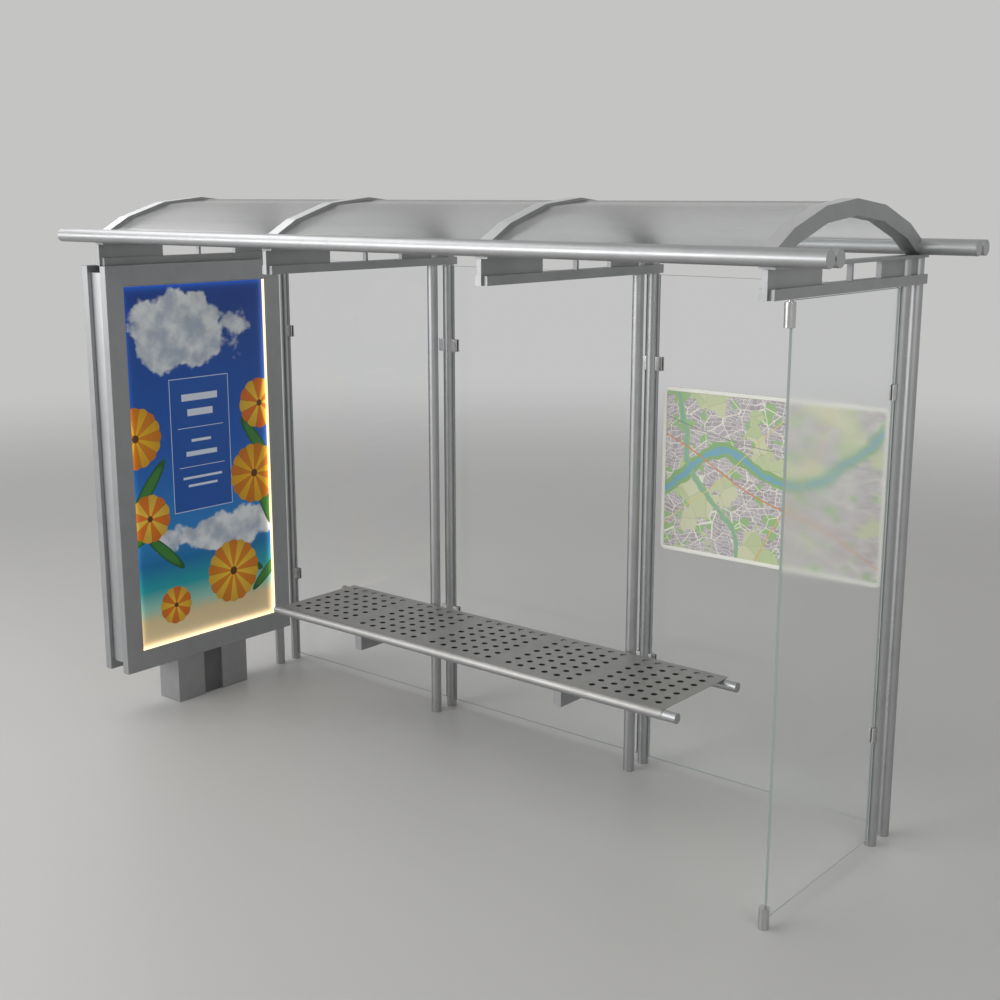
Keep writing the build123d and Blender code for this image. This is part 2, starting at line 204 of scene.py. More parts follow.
# Selects the edges whose two ends pass a test and leaves the piece in edit mode
def pick_edges(piece, test):
    clear_picks(piece, "EDGE")
    points = piece.data.vertices
    for edge in piece.data.edges:
        edge.select = test(points[edge.vertices[0]].co, points[edge.vertices[1]].co)
    bpy.ops.object.mode_set(mode="EDIT")


def bevel_picked(width, segments):
    bpy.ops.mesh.bevel(offset=width, segments=segments, affect="EDGES")
    close_edit()


def face_outwards():
    bpy.ops.mesh.select_all(action="SELECT")
    bpy.ops.mesh.normals_make_consistent(inside=False)
    close_edit()


def apply_modifier(piece, kind, **settings):
    activate(piece)
    bpy.ops.object.modifier_add(type=kind)
    modifier = piece.modifiers[-1]
    for name, value in settings.items():
        setattr(modifier, name, value)
    bpy.ops.object.modifier_apply(modifier=modifier.name)


def round_edges(piece, width, segments=2, angle=30):
    apply_modifier(piece, "BEVEL", width=width, segments=segments, limit_method="ANGLE",
                   angle_limit=math.radians(angle))
    return piece


def discard(piece):
    activate(piece)
    bpy.ops.object.delete()


# Joins a tool to a piece or cuts it away, then throws the tool away
def combine(piece, tool, operation):
    apply_modifier(piece, "BOOLEAN", operation=operation, solver="EXACT", object=tool)
    discard(tool)


def cut(piece, tool):
    combine(piece, tool, "DIFFERENCE")


def copy_to(piece, name, offset, turn=0.0):
    activate(piece)
    bpy.ops.object.duplicate(linked=False)
    twin = bpy.context.active_object
    twin.rotation_euler = (0, 0, turn)
    twin.location = offset
    return settle(twin, name)


def join(pieces, name):
    activate(pieces[0])
    for piece in pieces[1:]:
        piece.select_set(True)
    bpy.ops.object.join()
    return settle(pieces[0], name)


def dress(piece, nodes, material, smooth_angle=35):
    activate(piece)
    piece.data.materials.clear()
    piece.data.materials.append(material)
    bpy.ops.object.shade_smooth_by_angle(angle=math.radians(smooth_angle))
    apply_modifier(piece, "WEIGHTED_NORMAL", keep_sharp=True, weight=100)
    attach(piece, "root")
    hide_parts(*nodes)
    return piece


# Gives the faces that pass a test a finish of their own
def paint_faces(piece, material, test):
    piece.data.materials.append(material)
    pick_faces(piece, test)
    piece.active_material_index = len(piece.data.materials) - 1
    bpy.ops.object.material_slot_assign()
    close_edit()


def centre_of(node):
    low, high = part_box(node)
    return [(a + b) / 2 for a, b in zip(low, high)]


# Copies a pattern to each node's middle along the named axes, dresses the copies and discards the pattern
def set_out(pattern, prefix, nodes, axes, material, smooth_angle=35):
    copies = []
    for node in nodes:
        place = [at if axis in axes else 0 for axis, at in zip("xyz", centre_of(node))]
        copies.append(dress(copy_to(pattern, prefix + node, place), [node], material, smooth_angle))
    discard(pattern)
    return copies


# A cutter that leaves room for a post
def post_bore(y, bottom, top):
    radius = bpy.context.scene.steelwork.post_diameter / 2 + CAD_FIT
    return rod("post_bore", radius, (0, y, bottom), (0, y, top))


# A cutter that leaves room for an eaves tube
def eaves_bore(node, reach):
    y, z = centre_of(node)[1:]
    radius = bpy.context.scene.steelwork.eaves_diameter / 2 + CAD_FIT
    return rod("tube_bore", radius, (-reach, y, z), (reach, y, z), TUBE_SIDES)


# ---------------------------------------------------------------- materials

# Sets or links a node's inputs: hex is a colour, and a node stands for the first of its outputs in use
def feed(tree, node, inputs):
    for name, value in inputs.items():
        if isinstance(value, bpy.types.Node):
            value = next(output for output in value.outputs if output.enabled)
        if isinstance(value, bpy.types.NodeSocket):
            tree.links.new(value, node.inputs[name])
        else:
            node.inputs[name].default_value = linear(value) if isinstance(value, str) else value


# Adds one node with its settings, its values and its links
def add_node(tree, kind, inputs=None, **settings):
    node = tree.nodes.new("ShaderNode" + kind)
    for name, value in settings.items():
        setattr(node, name, value)
    feed(tree, node, inputs or {})
    return node


def new_material(name):
    material = bpy.data.materials.new(name)
    material.use_nodes = True
    tree = material.node_tree
    return material, tree, tree.nodes["Principled BSDF"]


# Turns a function that builds a finish into one that makes its material once and then hands it out again
def material_named(name):
    def wrap(build):
        def ask(*values):
            material = bpy.data.materials.get(name)
            if material is None:
                material, tree, shader = new_material(name)
                build(tree, shader, *values)
            return material
        return ask
    return wrap


# A metal's colour with faint handling marks, a soft cloud in its roughness and a fine blasted grain.
# The colour is hex or the path of a setting
def metal(name, colour, low, high, cloud_size):
    @material_named(name)
    def finish(tree, shader):
        clean = linear(colour)[:3] if colour[0] == "#" else bpy.context.scene.path_resolve(colour)
        dull = [channel * 0.94 for channel in clean]
        place = add_node(tree, "TexCoord").outputs["Object"]
        cloud = add_node(tree, "TexNoise", {"Vector": place, "Scale": 1 / cloud_size, "Detail": 5.0})
        rough = add_node(tree, "MapRange", {
            "Value": cloud, "From Min": 0.3, "From Max": 0.7, "To Min": low, "To Max": high})
        marks = add_node(tree, "TexNoise", {"Vector": place, "Scale": 1 / (90 * MM), "Detail": 6.0})
        worn = add_node(tree, "MapRange", {"Value": marks, "From Min": 0.45, "From Max": 0.7})
        shade = add_node(tree, "Mix", {
            "Factor": worn, "A": (*clean, 1.0), "B": (*dull, 1.0)}, data_type="RGBA")
        speckle = add_node(tree, "TexNoise", {"Vector": place, "Scale": 1 / (1.5 * MM), "Detail": 2.0})
        dents = add_node(tree, "Bump", {"Height": speckle, "Distance": 0.006 * MM})
        feed(tree, shader, {"Base Color": shade, "Metallic": 1.0, "Roughness": rough, "Normal": dents})
    return finish


# Stainless steel tube, glass-bead blasted: an even satin grey that spreads a lamp into a soft streak
steel_finish = metal("stainless_steel_bead_blasted", "steelwork.tube_colour", 0.42, 0.50, 160 * MM)

# Stainless steel plate, brushed then blasted: duller than the tubes, so flat faces stay even
plate_finish = metal("stainless_steel_plate_satin", "steelwork.plate_colour", 0.50, 0.58, 220 * MM)

# Outer flats of the ribs: the same plate, painted a paler grey as the light that falls on the faces that look
# up
lit_flat_finish = metal("stainless_steel_flat_painted_light", "#D2D3D3", 0.50, 0.58, 180 * MM)

# Cast stainless fittings, polished a little: small parts that glint
fitting_finish = metal("cast_stainless_satin_polished", "#C6C6C5", 0.20, 0.28, 40 * MM)

# Aluminium extrusion, natural anodised: pale, slightly milky and even
display_finish = metal("aluminium_natural_anodised", "#ABACAE", 0.46, 0.54, 300 * MM)

# Folded stainless plate round the plinth, blasted: a little darker than the display above it
plinth_finish = metal("folded_stainless_plate_blasted", "#A8A9AA", 0.48, 0.56, 150 * MM)

# Panel in the plinth's recess: painted shade, a dark grey strip for the shade that falls in the recess
recess_painted_shade_finish = metal("plinth_recess_painted_shade", "#7A7B7C", 0.52, 0.62, 90 * MM)

# Punched and rolled stainless seat sheet, blasted matt: warm grey from wear and dust
seat_finish = metal("stainless_seat_sheet_blasted", "bench.seat_colour", 0.46, 0.56, 120 * MM)

# Walls of the drawn drain holes, dull and painted dark grey as the shade inside the holes
collar_painted_shade_finish = metal("drawn_collar_painted_shade", "#454441", 0.55, 0.65, 30 * MM)


# Clear sheet that lets the lamps through, so its shadow stays light as a real pane's does
def clear_sheet(tree, shader, tint, roughness, ior, shadow):
    feed(tree, shader, {
        "Base Color": (*tint, 1.0), "Roughness": roughness, "IOR": ior, "Transmission Weight": 1.0})
    path = add_node(tree, "LightPath")
    clear = add_node(tree, "BsdfTransparent", {"Color": shadow})
    mixed = add_node(tree, "MixShader", {0: path.outputs["Is Shadow Ray"], 1: shader, 2: clear})
    feed(tree, tree.nodes["Material Output"], {"Surface": mixed})


# Polycarbonate, extruded clear, with an anti-glare face: faint reflections and a haze over what is behind
@material_named("polycarbonate_clear_extruded")
def roof_sheet_finish(tree, shader):
    clear_sheet(tree, shader, linear("#FBFCFC")[:3], 0.14, 1.25, "#F2F4F4")


# Toughened float glass, polished, with an anti-glare coat: clear with hard but very faint reflections
@material_named("toughened_float_glass")
def glass_finish(tree, shader):
    clear_sheet(tree, shader, bpy.context.scene.glazing.glass_tint, 0.0, 1.2, "#F5F7F6")


# Toughened glass, acid etched on one face: clear close to it and blurred for what stands further off
@material_named("toughened_glass_acid_etched")
def etched_glass_finish(tree, shader):
    settings = bpy.context.scene.glazing
    clear_sheet(tree, shader, settings.glass_tint, settings.frosting, 1.35, "#F0F3F1")


# Edge of a toughened pane, ground with a belt: a matt grey-green line
@material_named("toughened_glass_ground_edge")
def glass_edge_finish(tree, shader):
    place = add_node(tree, "TexCoord").outputs["Object"]
    grinding = add_node(tree, "TexNoise", {"Vector": place, "Scale": 1 / (4 * MM), "Detail": 3.0})
    tone = add_node(tree, "Mix", {"Factor": grinding, "A": "#8E9A96", "B": "#A9B3B0"}, data_type="RGBA")
    feed(tree, shader, {"Base Color": tone, "Roughness": 0.55})


# Powder-coated aluminium, cream: smooth and softly glossy
@material_named("powder_coated_aluminium_cream")
def case_finish(tree, shader):
    place = add_node(tree, "TexCoord").outputs["Object"]
    peel = add_node(tree, "TexNoise", {"Vector": place, "Scale": 1 / (3 * MM), "Detail": 2.0})
    dents = add_node(tree, "Bump", {"Height": peel, "Distance": 0.05 * MM})
    colour = (*bpy.context.scene.panels.map_case_colour, 1.0)
    feed(tree, shader, {"Base Color": colour, "Roughness": 0.35, "Normal": dents})


# Light strip behind an opal polycarbonate diffuser: an even warm white line
@material_named("opal_diffuser_lit_warm_white")
def strip_finish(tree, shader):
    feed(tree, shader, {"Base Color": "#FBF3DE", "Roughness": 0.5, "Emission Color": "#FFE3B0",
                        "Emission Strength": bpy.context.scene.panels.light_strength})


# ---------------------------------------------------------------- prints

# The place of a point on a print: across and up, in millimetres from the middle of the sheet
def print_plan(tree, centre, across):
    place = add_node(tree, "TexCoord").outputs["Object"]
    shifted = add_node(tree, "VectorMath", {0: place, 1: centre}, operation="SUBTRACT")
    parts = add_node(tree, "SeparateXYZ", {"Vector": shifted})
    flat = add_node(tree, "CombineXYZ", {"X": parts.outputs[across], "Y": parts.outputs["Z"]})
    return add_node(tree, "VectorMath", {0: flat, "Scale": 1 / MM}, operation="SCALE")


# Lays inks over a paper one after the other, each where its measure is under its limit
def stack_inks(tree, paper, inks):
    below = paper
    for measure, limit, softness, ink in inks:
        mask = add_node(tree, "MapRange", {
            "Value": measure, "From Min": limit - softness, "From Max": limit + softness,
            "To Min": 1.0, "To Max": 0.0}, interpolation_type="SMOOTHSTEP")
        below = add_node(tree, "Mix", {"Factor": mask, "A": below, "B": ink}, data_type="RGBA")
    return below


# How far a point of a print lies from a line that wanders across it
def off_line(tree, across, up, slope, offset, swing, wave_length, drift=0.0):
    phase = add_node(
        tree, "Math", {0: across, 1: 2 * math.pi / wave_length, 2: offset}, operation="MULTIPLY_ADD")
    wave = add_node(tree, "Math", {0: phase}, operation="SINE")
    swung = add_node(tree, "Math", {0: wave, 1: swing, 2: offset}, operation="MULTIPLY_ADD")
    line = add_node(tree, "Math", {0: across, 1: slope, 2: swung}, operation="MULTIPLY_ADD")
    drifted = add_node(tree, "Math", {0: line, 1: drift}, operation="ADD")
    gap = add_node(tree, "Math", {0: up, 1: drifted}, operation="SUBTRACT")
    return add_node(tree, "Math", {0: gap}, operation="ABSOLUTE")


# How far a point of a print lies outside a rectangle, and less than nought inside it
def off_rectangle(tree, plan, middle, size):
    gap = add_node(tree, "VectorMath", {0: plan, 1: (*middle, 0)}, operation="SUBTRACT")
    gap = add_node(tree, "VectorMath", {0: gap}, operation="ABSOLUTE")
    gap = add_node(tree, "VectorMath", {0: gap, 1: (size[0] / 2, size[1] / 2, 0)}, operation="SUBTRACT")
    parts = add_node(tree, "SeparateXYZ", {"Vector": gap})
    return add_node(tree, "Math", {0: parts.outputs["X"], 1: parts.outputs["Y"]}, operation="MAXIMUM")


# A point's place in an ellipse, and how far it lies from the middle, both counted in half lengths
def off_ellipse(tree, plan, middle, size, lean=0.0):
    spot = add_node(tree, "Mapping", {
        "Vector": plan, "Location": (*middle, 0), "Rotation": (0, 0, lean),
        "Scale": (size[0] / 2, size[1] / 2, 1)}, vector_type="TEXTURE")
    return spot, add_node(tree, "VectorMath", {0: spot}, operation="LENGTH")


# Offset-printed map paper under a clear film: flat pale inks with a soft sheen. The town is made up
@material_named("offset_printed_map_paper")
def map_finish(tree, shader, centre):
    plan = print_plan(tree, centre, "X")
    parts = add_node(tree, "SeparateXYZ", {"Vector": plan})
    across = parts.outputs["X"]
    up = parts.outputs["Y"]
    terrain = add_node(tree, "TexNoise", {"Vector": plan, "Scale": 1 / 240, "Detail": 3.0})
    drift = add_node(tree, "MapRange", {"Value": terrain, "To Min": -90.0, "To Max": 90.0})

    # Blocks of houses along bent streets, wider streets, parks, and fields with their edges
    bend = add_node(tree, "TexNoise", {"Vector": plan, "Scale": 1 / 160}).outputs["Color"]
    bent = add_node(tree, "VectorMath", {0: bend, 1: (120, 120, 0), 2: plan}, operation="MULTIPLY_ADD")
    town = add_node(tree, "TexBrick", {
        "Vector": bent, "Color1": "#A8A0A4", "Color2": "#C2BBBE", "Mortar": "#E4E1DC", "Scale": 1 / 40,
        "Mortar Size": 0.028, "Mortar Smooth": 0.2, "Brick Width": 0.8, "Row Height": 0.4}, offset=0.35)
    parks = add_node(tree, "TexVoronoi", {"Vector": plan, "Scale": 1 / 34}).outputs["Color"]
    streets = add_node(tree, "TexVoronoi", {"Vector": plan, "Scale": 1 / 75}, feature="DISTANCE_TO_EDGE")
    plots = add_node(tree, "TexVoronoi", {"Vector": plan, "Scale": 1 / 70}).outputs["Color"]
    field_edges = add_node(tree, "TexVoronoi", {"Vector": plan, "Scale": 1 / 70}, feature="DISTANCE_TO_EDGE")
    fields = stack_inks(tree, "#D3D4B4", (
        (add_node(tree, "SeparateXYZ", {"Vector": plots}), 0.5, 0.4, "#BFCC9E"),
        (field_edges, 0.010, 0.006, "#B3B693"),
    ))
    river = off_line(tree, across, up, 0.30, 60, 95, 900, drift)
    stream = off_line(tree, up, across, -0.5, -310, 40, 570, drift)
    inks = (
        (add_node(tree, "SeparateXYZ", {"Vector": parks}), 0.16, 0.01, "#9DBF86"),
        (streets, 0.018, 0.008, "#E9E6DA"),
        (terrain, 0.455, 0.006, fields),
        (river, 34, 2, "#8FB57C"),
        (stream, 14, 1, "#9ABD86"),
        (stream, 3, 0.6, "#7FAFC0"),
        (river, 15, 0.8, "#7BAEBF"),
        (off_line(tree, across, up, 0.9, 190, 12, 450), 2.6, 0.6, "#DDCB7C"),
        (off_line(tree, up, across, 0.35, 120, 45, 1050), 3.2, 0.6, "#DDB477"),
        (off_line(tree, across, up, -0.42, -70, 18, 700), 3.4, 0.6, "#D6925E"),
        (off_line(tree, across, up, -0.16, 150, 25, 1250), 1.1, 0.4, "#716E74"),
    )
    fibres = add_node(tree, "TexNoise", {"Vector": plan, "Scale": 1 / 2, "Detail": 2.0})
    dents = add_node(tree, "Bump", {"Height": fibres, "Distance": 0.02 * MM})
    feed(tree, shader, {"Base Color": stack_inks(tree, town, inks), "Normal": dents, "Roughness": 0.38})


# A beach parasol seen from above: wedges of two colours that darken to the rim, with seams and a knob
def parasol(tree, plan, middle, size, wedges, light, dark):
    spot, reach = off_ellipse(tree, plan, middle, (size, size))
    parts = add_node(tree, "SeparateXYZ", {"Vector": spot})
    angle = add_node(tree, "Math", {0: parts.outputs["Y"], 1: parts.outputs["X"]}, operation="ARCTAN2")
    turn = add_node(tree, "Math", {0: angle, 1: wedges / 2, 2: middle[0] / 50}, operation="MULTIPLY_ADD")
    wave = add_node(tree, "Math", {0: turn}, operation="SINE")
    bulge = add_node(tree, "Math", {0: wave}, operation="ABSOLUTE")
    rim = add_node(tree, "Math", {0: bulge, 1: -0.05, 2: reach}, operation="MULTIPLY_ADD")
    cloth = stack_inks(tree, light, ((wave, 0.0, 0.06, dark), (bulge, 0.05, 0.04, "#8E5A12")))
    depth = add_node(tree, "MapRange", {"Value": reach, "To Max": 0.45})
    shaded = add_node(tree, "Mix", {"Factor": depth, "A": cloth, "B": "#A8560F"}, data_type="RGBA")
    return (rim, 0.95, 0.01, shaded), (reach, 0.13, 0.01, "#5B3413")


# Offset-printed poster paper with painted light glowing in from its edges: saturated inks with a soft sheen.
# A made-up beach in summer
@material_named("offset_printed_poster_paper")
def poster_finish(tree, shader, centre):
    plan = print_plan(tree, centre, "Y")
    up = add_node(tree, "SeparateXYZ", {"Vector": plan}).outputs["Y"]

    # Sky to sea to sand down the sheet
    rise = add_node(tree, "MapRange", {"Value": up, "From Min": -880.0, "From Max": 880.0})
    ramp = add_node(tree, "ValToRGB", {"Fac": rise})
    stops = ((0.0, "#F0DCB4"), (0.07, "#E5CFA0"), (0.105, "#9FD0BE"), (0.16, "#1FA3AE"), (0.23, "#1273AE"),
             (0.30, "#2B86CE"), (0.55, "#1A5DB8"), (1.0, "#0D3F98"))
    for index, (position, ink) in enumerate(stops):
        stop = ramp.color_ramp.elements[index] if index < 2 else ramp.color_ramp.elements.new(position)
        stop.position = position
        stop.color = linear(ink)

    # Clouds: one mass high on the left and a low bank over the sea
    puffs = add_node(tree, "TexNoise", {"Vector": plan, "Scale": 1 / 210, "Detail": 5.0, "Roughness": 0.5})
    folds = add_node(tree, "TexNoise", {"Vector": plan, "Scale": 1 / 120, "Detail": 4.0})
    cloud_tone = stack_inks(tree, "#E9EDF0", ((folds, 0.5, 0.15, "#AFBBCB"),))
    inks = []
    for middle, size in (((-60, 640), (1240, 840)), ((120, -370), (1800, 400))):
        reach = off_ellipse(tree, plan, middle, size)[1]
        edge = add_node(tree, "Math", {0: puffs, 1: -1.1, 2: reach}, operation="MULTIPLY_ADD")
        inks.append((edge, -0.10, 0.04, cloud_tone))

    # A panel in a pale outline, with plain bars in it
    panel = off_rectangle(tree, plan, (0, 90), (360, 660))
    outline = add_node(tree, "Math", {0: panel}, operation="ABSOLUTE")
    inks += [(panel, 0, 0.5, "#1B57AE"), (outline, 2, 0.5, "#C9D9EE")]
    bars = ((325, 34, 220), (250, 34, 156), (175, 3, 280), (110, 14, 120), (45, 24, 190),
            (-20, 3, 280), (-75, 12, 240), (-115, 12, 180))
    for height, thickness, length in bars:
        inks.append((off_rectangle(tree, plan, (0, height), (length, thickness)), 0, 0.5, "#DCE6F3"))

    # Leaves and parasols along both sides
    leaves = ((-330, -90, 330, 0.9), (-390, -330, 320, 0.4), (-250, -420, 300, 2.4), (350, 60, 320, 2.2),
              (390, -250, 340, 1.9), (230, -560, 300, 2.7), (400, -640, 280, 0.7))
    for side, height, length, lean in leaves:
        reach = off_ellipse(tree, plan, (side, height), (length, 0.2 * length), lean)[1]
        inks += [(reach, 1.0, 0.02, "#1F5A2A"), (reach, 0.75, 0.15, "#3C8237")]
    shades = (
        (-390, 160, 300, 16, "#F5C322", "#E58A14"), (-330, -240, 240, 12, "#F8D24A", "#EE7F1A"),
        (380, 250, 260, 12, "#F7CF3C", "#E9761B"), (330, -110, 310, 16, "#F4BF1E", "#DE8412"),
        (170, -600, 330, 18, "#F9D03A", "#E88B16"), (-200, -700, 190, 12, "#F6C93A", "#E77A1C"),
    )
    for side, height, size, wedges, light, dark in shades:
        inks += parasol(tree, plan, (side, height), size, wedges, light, dark)
    colour = stack_inks(tree, ramp, inks)

    # Painted light: the sheet itself glows near its edges, for the strips' light that creeps in
    inset = off_rectangle(tree, plan, (0, 0), (854, 1762))
    fade = add_node(tree, "MapRange", {"Value": inset, "From Min": -60.0, "From Max": 0.0})
    glow = add_node(tree, "Math", {0: fade, 1: 3.0}, operation="POWER")
    feed(tree, shader, {
        "Base Color": colour, "Roughness": 0.33, "Emission Color": colour, "Emission Strength": glow})


# ---------------------------------------------------------------- posts, beams, tubes and ribs

class SHELTER_OT_posts(bpy.types.Operator):
    """Model one post and copy it to the eight places"""
    bl_idname = "shelter.posts"
    bl_label = "Posts"

    def execute(self, context):
        low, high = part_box("front_post_a")
        radius = context.scene.steelwork.post_diameter / 2
        post = rod("post_pattern", radius, (0, 0, low.z), (0, 0, high.z))
        pick_edges(post, lambda a, b: abs(a.z - b.z) < CAD_FIT)
        bevel_picked(1 * MM, 2)
        nodes = [row + "_post_" + letter for row in ("front", "rear") for letter in FRAME_NAMES]
        set_out(post, "steel_", nodes, "xy", steel_finish())
        return {"FINISHED"}


class SHELTER_OT_beams(bpy.types.Operator):
    """Model one cantilever beam with its windows and copy it to the four frames"""
    bl_idname = "shelter.beams"
    bl_label = "Cantilever beams"

    def execute(self, context):
        settings = context.scene.steelwork
        low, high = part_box("cantilever_beam_a")
        half_width = (high.x - low.x) / 2
        half_web = settings.web_thickness / 2
        plate_bottom = high.z - settings.plate_thickness
        bar_top = low.z + settings.bar_height
        bar_front = low.y + BEAM_BAR_SETBACK
        beam = block("beam_pattern", (-half_web, low.y, low.z), (half_web, high.y, plate_bottom))
        bars = block("beam_bars", (-half_width, bar_front, low.z), (half_width, high.y, bar_top))
        plate = block("beam_plate", (-half_width, bar_front, plate_bottom), (half_width, high.y, high.z))
        combine(beam, bars, "UNION")
        combine(beam, plate, "UNION")
        for start, end in BEAM_WINDOWS:
            window = block("window_cut", (-half_width, start, bar_top), (half_width, end, plate_bottom))
            cut(beam, window)
        for post in ("front_post_a", "rear_post_a"):
            cut(beam, post_bore(centre_of(post)[1], low.z - 10 * MM, plate_bottom))
        round_edges(beam, 1.2 * MM)
        nodes = ["cantilever_beam_" + letter for letter in FRAME_NAMES]
        set_out(beam, "steel_", nodes, "x", plate_finish())
        return {"FINISHED"}


class SHELTER_OT_eaves(bpy.types.Operator):
    """Model one eaves tube with its end caps and copy it to the four rows"""
    bl_idname = "shelter.eaves"
    bl_label = "Eaves tubes"

    def execute(self, context):
        radius = context.scene.steelwork.eaves_diameter / 2
        low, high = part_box("front_eaves_tube_outer")
        tube = rod("eaves_pattern", radius, (low.x, 0, 0), (high.x, 0, 0), TUBE_SIDES)
        # Each end cap steps in by a wall's width from the rim, and its middle comes out again a little
        pick_faces(tube, lambda face: abs(face.normal.x) > 0.9)
        for border, shift in ((3.2 * MM, -0.8 * MM), (0.8 * MM, 0.4 * MM)):
            bpy.ops.mesh.inset(thickness=border, use_individual=True)
            bpy.ops.transform.resize(value=(1 + shift / high.x, 1, 1), center_override=(0, 0, 0))
        close_edit()
        pick_edges(tube, lambda a, b: abs(a.x - b.x) < CAD_FIT and a.yz.length > radius - CAD_FIT)
        bevel_picked(0.8 * MM, 2)
        set_out(tube, "steel_", EAVES_TUBES, "yz", steel_finish())
        return {"FINISHED"}


# Half the angle that the roof arch spans, from the outer tubes and the tips of the ribs
def arch_half_angle(radius):
    return math.asin((centre_of("rear_eaves_tube_outer")[1] + RIB_TIP_REACH) / radius)


# A rectangle across the arch at its front end, spun over the roof in flats and closed at its ends
def arch_sweep(name, outer, inner, width, centre_z, half_angle):
    middle = (outer + inner) / 2
    start = (0, -middle * math.sin(half_angle), centre_z + middle * math.cos(half_angle))
    arch = flat_plane(name, start, (width, outer - inner), (math.pi / 2 + half_angle, 0, 0))
    open_edit(arch)
    bpy.ops.mesh.spin(steps=ROOF_FLATS, angle=2 * half_angle, center=(0, 0, centre_z), axis=(1, 0, 0))
    bpy.ops.mesh.select_all(action="SELECT")
    bpy.ops.mesh.remove_doubles(threshold=WELD)
    bpy.ops.mesh.select_all(action="DESELECT")
    bpy.ops.mesh.select_mode(type="EDGE")
    bpy.ops.mesh.select_non_manifold()
    bpy.ops.mesh.edge_face_add()
    face_outwards()
    return arch


# Keeps the part of a piece on one side of a plane and closes the cut
def trim(piece, point, normal):
    open_edit(piece)
    bpy.ops.mesh.bisect(plane_co=point, plane_no=normal, use_fill=True, clear_outer=True)
    close_edit()


class SHELTER_OT_ribs(bpy.types.Operator):
    """Spin one faceted roof rib, cope it round the tubes and copy it to the four frames"""
    bl_idname = "shelter.ribs"
    bl_label = "Roof ribs"

    def execute(self, context):
        settings = context.scene.steelwork
        low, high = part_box("roof_rib_a")
        radius = settings.arch_radius
        half_angle = arch_half_angle(radius)
        inner = radius - settings.rib_depth / math.cos(half_angle / ROOF_FLATS)
        rib = arch_sweep("rib_pattern", radius, inner, high.x - low.x, high.z - radius, half_angle)
        trim(rib, (0, 0, low.z), (0, 0, -1))
        for node in EAVES_TUBES:
            cut(rib, eaves_bore(node, 100 * MM))
        round_edges(rib, 1.2 * MM)
        nodes = ["roof_rib_" + letter for letter in FRAME_NAMES]
        for arch in set_out(rib, "steel_", nodes, "x", plate_finish(), smooth_angle=8):
            # Painted light: the rib faces that look up get a paler grey than the rest of the rib
            paint_faces(arch, lit_flat_finish(), lambda face: face.normal.z > 0.3 and abs(face.normal.x) < 0.3)
        return {"FINISHED"}


# ---------------------------------------------------------------- roof sheets and glass

class SHELTER_OT_roof_sheets(bpy.types.Operator):
    """Spin one roof sheet, trim it to the inner tubes and copy it to the three bays"""
    bl_idname = "shelter.roof_sheets"
    bl_label = "Roof sheets"

    def execute(self, context):
        radius = context.scene.steelwork.arch_radius
        settings = context.scene.glazing
        low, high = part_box("roof_sheet_left")
        half_angle = arch_half_angle(radius)
        facet_lean = math.cos(half_angle / ROOF_FLATS)
        outer = radius - settings.sheet_setback / facet_lean
        inner = outer - settings.sheet_thickness / facet_lean
        sheet = arch_sweep("sheet_pattern", outer, inner, high.x - low.x, high.z - outer, half_angle)
        for node, side in (("front_eaves_tube_inner", -1), ("rear_eaves_tube_inner", 1)):
            trim(sheet, (0, centre_of(node)[1], 0), (0, side, 0))
            cut(sheet, eaves_bore(node, 1))
        round_edges(sheet, 0.5 * MM, segments=1)
        nodes = ["roof_sheet_" + bay for bay in BAY_NAMES]
        set_out(sheet, "clear_", nodes, "x", roof_sheet_finish(), smooth_angle=20)
        return {"FINISHED"}


class SHELTER_OT_glass(bpy.types.Operator):
    """Model one back pane and copy it to the three bays, then model the side pane"""
    bl_idname = "shelter.glass"
    bl_label = "Glass panes"

    def execute(self, context):
        low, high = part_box("back_glass_middle")
        half_width = (high.x - low.x) / 2
        pane = block("pane_pattern", (-half_width, low.y, low.z), (half_width, high.y, high.z))
        round_edges(pane, 1 * MM)
        nodes = ["back_glass_" + bay for bay in BAY_NAMES]
        for sheet in set_out(pane, "pane_", nodes, "x", glass_finish()):
            paint_faces(sheet, glass_edge_finish(), lambda face: abs(face.normal.y) < 0.95)
        side = round_edges(block("pane_side_glass", *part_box("side_glass")), 1 * MM)
        dress(side, ["side_glass"], etched_glass_finish())
        paint_faces(side, glass_edge_finish(), lambda face: abs(face.normal.x) < 0.95)
        return {"FINISHED"}


# A clamp that reaches along +X from a post at the origin and is slotted over the edge of a pane
def clamp_pattern():
    reach = 55 * MM
    half_depth = 12 * MM
    half_height = 29.5 * MM
    slot_start = 31.7 * MM
    clamp = block("clamp_pattern", (0, -half_depth, -half_height), (reach, half_depth, half_height))
    cut(clamp, block("clamp_slot", (slot_start, -HALF_SLOT, -1), (1, HALF_SLOT, 1)))
    cut(clamp, post_bore(0, -1, 1))
    return round_edges(clamp, 1.5 * MM, angle=40)


class SHELTER_OT_clamps(bpy.types.Operator):
    """Model one glass clamp and copy it to the rear posts"""
    bl_idname = "shelter.clamps"
    bl_label = "Glass clamps"

    def execute(self, context):
        pattern = clamp_pattern()
        turns = {"a": (0.0,), "b": (0.0, math.pi), "c": (0.0, math.pi), "d": (math.pi,)}
        clamps = []
        for level in CLAMP_LEVELS:
            for letter in FRAME_NAMES:
                x, y, z = centre_of("rear_post_" + letter)
                for turn in turns[letter]:
                    clamps.append(copy_to(pattern, "clamp", (x, y, level), turn))
        discard(pattern)
        dress(join(clamps, "steel_glass_clamps"), ["glass_clamps"], fitting_finish())
        return {"FINISHED"}


